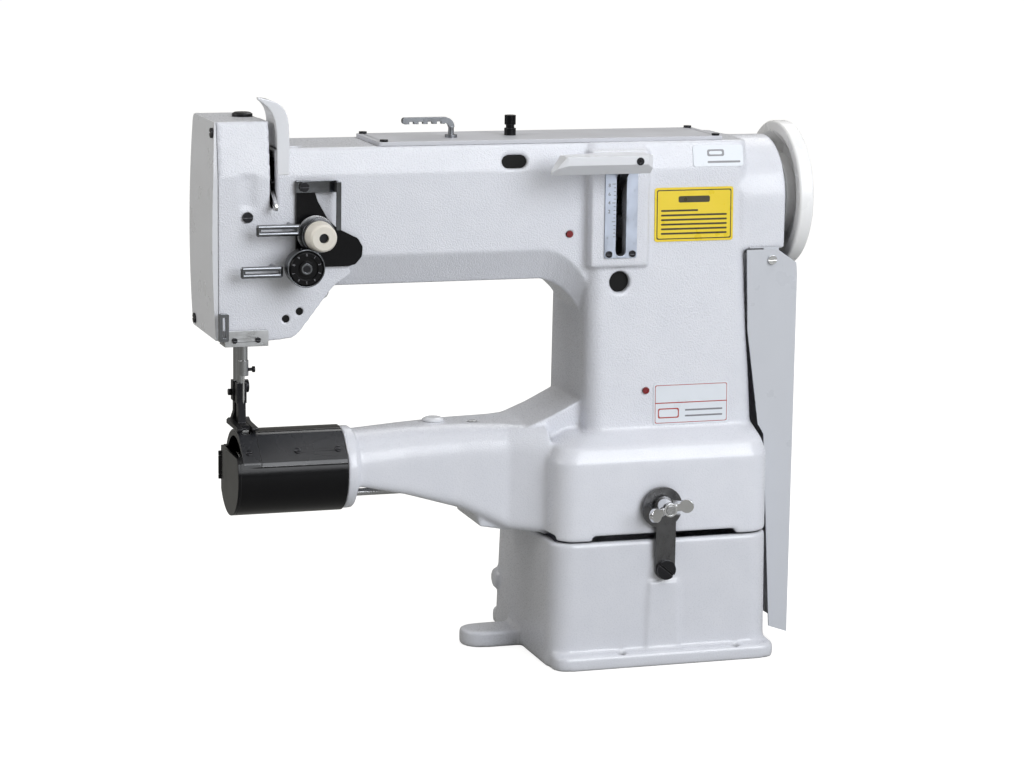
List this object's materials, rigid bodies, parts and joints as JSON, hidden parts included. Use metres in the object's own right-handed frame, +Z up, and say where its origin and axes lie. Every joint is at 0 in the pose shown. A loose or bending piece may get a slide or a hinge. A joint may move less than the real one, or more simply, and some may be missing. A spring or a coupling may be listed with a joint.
{
  "type": "leather sewing machine",
  "caption": "Cylinder-bed walking-foot sewing machine for leather: white cast arm and column on a tilting base, black hook housing, handwheel with belt guard, tension and stitch controls.",
  "frame": {"origin": "on the bench, at the centre of the four bench bolts, in the plane of the base's foot", "axes": "+X from the needle end towards the handwheel, +Y away from the operator, +Z up"},
  "size_m": [0.5293, 0.2178, 0.4886],
  "materials": {
    "enamel": "textured off-white casting enamel",
    "white_sheet": "smooth white paint on sheet steel",
    "white_plastic": "white moulded plastic",
    "black_satin": "satin black coating",
    "black_oxide": "black oxide steel",
    "steel": "machined steel",
    "chrome": "bright chrome plate",
    "aluminium": "satin aluminium",
    "cast_machined": "machined cast iron",
    "bronze": "sintered bronze",
    "ivory": "ivory plastic",
    "rubber": "black rubber",
    "red": "dark red plastic",
    "yellow": "printed plate",
    "nylon": "toothed belt rubber"
  },
  "bodies": {
    "base": {"base_casting": "enamel", "tilt_hinge_pins": "steel", "strap_screw": "black_oxide"},
    "strap": {"lock_strap": "steel"},
    "head": {"main_casting": "enamel", "top_cover": "white_sheet", "face_plate": "white_sheet", "take_up_guard": "white_plastic", "head_bracket": "aluminium", "cover_screws": "black_oxide", "top_thread_guides": "steel", "thread_guides": "chrome", "tension_plate": "black_satin", "guide_strip": "steel", "tension_studs": "steel", "tension_discs": "chrome", "scale_plate": "aluminium", "casting_plugs": "rubber", "oil_caps": "red", "label_plates": "yellow", "shaft_bearings": "bronze", "pivot_pins": "steel", "timing_belt": "nylon", "hook_saddle": "cast_machined", "bobbin_case": "chrome", "cylinder_cap": "black_satin", "throat_plate": "black_oxide", "cover_plate": "black_oxide", "presser_spring": "steel", "belt_guard": "white_sheet", "lock_stud": "black_oxide"},
    "wing_nut": {"wing_nut": "chrome"},
    "main_shaft": {"main_shaft": "steel", "handwheel": "white_sheet", "crank": "steel", "upper_pulley": "aluminium"},
    "link": {"needle_bar_link": "steel"},
    "take_up": {"take_up_lever": "chrome"},
    "lower_shaft": {"lower_shaft": "steel", "lower_pulley": "aluminium", "drive_gear": "steel"},
    "hook": {"rotating_hook": "steel"},
    "bobbin": {"bobbin": "aluminium"},
    "bobbin_door": {"bobbin_door": "black_satin"},
    "feed_dog": {"feed_dog": "steel"},
    "feed_shaft": {"feed_rock_shaft": "steel"},
    "needle_frame": {"needle_frame": "cast_machined"},
    "needle_bar": {"needle_bar": "chrome", "needle_screw": "black_oxide", "needle": "chrome"},
    "inner_foot": {"inner_foot_bar": "chrome", "inner_foot": "black_oxide"},
    "presser": {"presser_bar": "chrome", "presser_foot": "black_oxide", "foot_screws": "black_oxide"},
    "regulator": {"pressure_regulator": "black_oxide"},
    "lifter": {"foot_lifter_lever": "chrome"},
    "tension_knob": {"tension_knob": "ivory"},
    "lower_dial": {"lower_dial": "black_satin"},
    "stitch_lever": {"stitch_lever": "white_plastic"}
  },
  "joints": [
    {"name": "head_tilt", "type": "hinge", "parent": "base", "child": "head", "pos_m": [-0.012, 0.094, 0.1095], "axis": [-1, 0, 0], "range_deg": [0, 55]},
    {"name": "strap_swing", "type": "hinge", "parent": "base", "child": "strap", "pos_m": [-0.0145, -0.09, 0.084], "axis": [0, -1, 0], "range_deg": [0, 70]},
    {"name": "wing_nut_turn", "type": "hinge", "parent": "head", "child": "wing_nut", "pos_m": [-0.018, -0.104, 0.14], "axis": [0, -1, 0], "range_deg": [0, 720]},
    {"name": "main_shaft_turn", "type": "hinge", "parent": "head", "child": "main_shaft", "pos_m": [0.038, 0, 0.394], "axis": [1, 0, 0], "continuous": true},
    {"name": "link_turn", "type": "hinge", "parent": "main_shaft", "child": "link", "pos_m": [-0.3525, 0, 0.411], "axis": [1, 0, 0], "continuous": true},
    {"name": "take_up_swing", "type": "hinge", "parent": "head", "child": "take_up", "pos_m": [-0.3472, -0.004, 0.429], "axis": [-1, 0, 0], "range_deg": [0, 42]},
    {"name": "lower_shaft_turn", "type": "hinge", "parent": "head", "child": "lower_shaft", "pos_m": [-0.062, 0, 0.1835], "axis": [1, 0, 0], "continuous": true},
    {"name": "hook_turn", "type": "hinge", "parent": "head", "child": "hook", "pos_m": [-0.322, 0, 0.1685], "axis": [1, 0, 0], "continuous": true},
    {"name": "bobbin_spin", "type": "hinge", "parent": "head", "child": "bobbin", "pos_m": [-0.358, 0, 0.1685], "axis": [1, 0, 0], "continuous": true},
    {"name": "bobbin_door_swing", "type": "hinge", "parent": "head", "child": "bobbin_door", "pos_m": [-0.3748, 0.033, 0.1685], "axis": [0, 0, -1], "range_deg": [0, 100]},
    {"name": "needle_frame_swing", "type": "hinge", "parent": "head", "child": "needle_frame", "pos_m": [-0.362, 0.016, 0.44], "axis": [1, 0, 0], "range_deg": [-1.1, 1.1]},
    {"name": "feed_dog_slide", "type": "slide", "parent": "head", "child": "feed_dog", "axis": [0, 1, 0], "range_m": [-0.0046, 0.0046]},
    {"name": "feed_shaft_rock", "type": "hinge", "parent": "head", "child": "feed_shaft", "pos_m": [-0.262, 0, 0.1455], "axis": [1, 0, 0], "range_deg": [-18.2, 18.2]},
    {"name": "needle_bar_slide", "type": "slide", "parent": "needle_frame", "child": "needle_bar", "axis": [0, 0, 1], "range_m": [-0.034, 0]},
    {"name": "presser_slide", "type": "slide", "parent": "head", "child": "presser", "axis": [0, 0, 1], "range_m": [0, 0.0081]},
    {"name": "inner_foot_slide", "type": "slide", "parent": "needle_frame", "child": "inner_foot", "axis": [0, 0, 1], "range_m": [0, 0.0081]},
    {"name": "foot_lifter_turn", "type": "hinge", "parent": "head", "child": "lifter", "pos_m": [-0.322, 0.045, 0.33], "axis": [0, -1, 0], "range_deg": [0, 75]},
    {"name": "regulator_turn", "type": "hinge", "parent": "head", "child": "regulator", "pos_m": [-0.36, 0.012, 0.46], "axis": [0, 0, 1], "range_deg": [-360, 360]},
    {"name": "tension_knob_turn", "type": "hinge", "parent": "head", "child": "tension_knob", "pos_m": [-0.3137, -0.075, 0.3764], "axis": [0, -1, 0], "range_deg": [-360, 360]},
    {"name": "lower_dial_turn", "type": "hinge", "parent": "head", "child": "lower_dial", "pos_m": [-0.3265, -0.068, 0.351], "axis": [0, -1, 0], "range_deg": [-150, 150]},
    {"name": "stitch_lever_swing", "type": "hinge", "parent": "head", "child": "stitch_lever", "pos_m": [-0.049, 0, 0.372], "axis": [1, 0, 0], "range_deg": [0, 54]}
  ],
  "couplings": [
    {"joint": "link_turn", "follows": "main_shaft_turn", "ratio": -1},
    {"joint": "lower_shaft_turn", "follows": "main_shaft_turn", "ratio": 1},
    {"joint": "hook_turn", "follows": "main_shaft_turn", "ratio": -2},
    {"joint": "feed_dog_slide", "follows": "needle_frame_swing", "m_per_rad": 0.236},
    {"joint": "feed_shaft_rock", "follows": "needle_frame_swing", "ratio": -16.4},
    {"joint": "presser_slide", "follows": "foot_lifter_turn", "m_per_rad": 0.006112},
    {"joint": "inner_foot_slide", "follows": "foot_lifter_turn", "m_per_rad": 0.006112}
  ]
}
